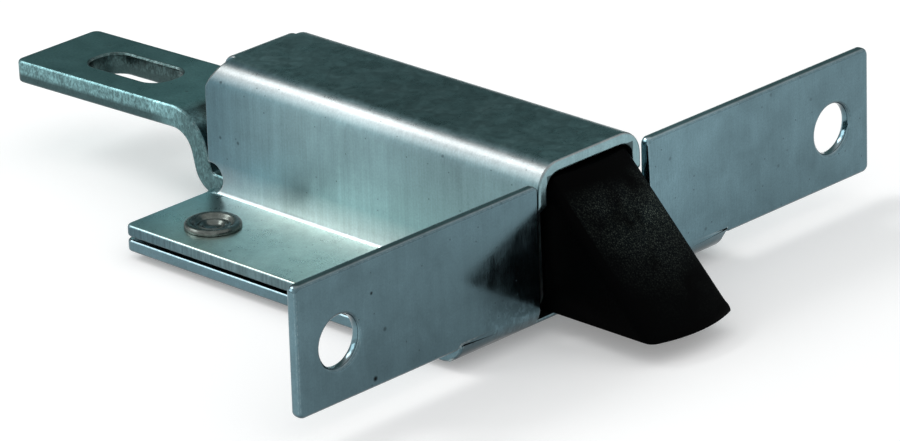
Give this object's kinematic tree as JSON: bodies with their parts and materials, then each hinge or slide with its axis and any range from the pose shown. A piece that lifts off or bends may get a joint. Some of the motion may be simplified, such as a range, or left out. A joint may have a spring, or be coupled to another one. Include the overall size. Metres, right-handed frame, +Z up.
{
  "type": "access door slam latch",
  "caption": "Sheet steel slam latch for an access door: sprung bevelled bolt in a folded channel, screw ears at the front, slotted pull strap at the rear.",
  "frame": {"origin": "middle of the two screw holes, on the front face of the ears", "axes": "+X along the screw face, +Y from the screw face back to the pull strap, +Z up from the bracket's floor to the channel's web"},
  "size_m": [0.116, 0.1279, 0.025],
  "materials": {
    "bracket_steel": "zinc plated, rolled grain",
    "housing_steel": "zinc plated, soft gloss",
    "bolt_plastic": "moulded, fine grain",
    "strap_steel": "zinc plated, sheared edges",
    "spring_steel": "drawn wire",
    "rivet_steel": "rolled rim"
  },
  "bodies": {
    "frame": {"mounting_bracket": "bracket_steel", "housing": "housing_steel", "return_spring": "spring_steel", "rivet_front_left": "rivet_steel", "rivet_front_right": "rivet_steel", "rivet_rear_left": "rivet_steel", "rivet_rear_right": "rivet_steel"},
    "bolt": {"latch_bolt": "bolt_plastic", "pull_strap": "strap_steel"}
  },
  "joints": [
    {"name": "bolt_slide", "type": "slide", "parent": "frame", "child": "bolt", "axis": [0, 1, 0], "range_m": [0, 0.0185], "stiffness_N_per_m": 400, "springref_m": -0.02, "deforming": ["return_spring"]}
  ]
}
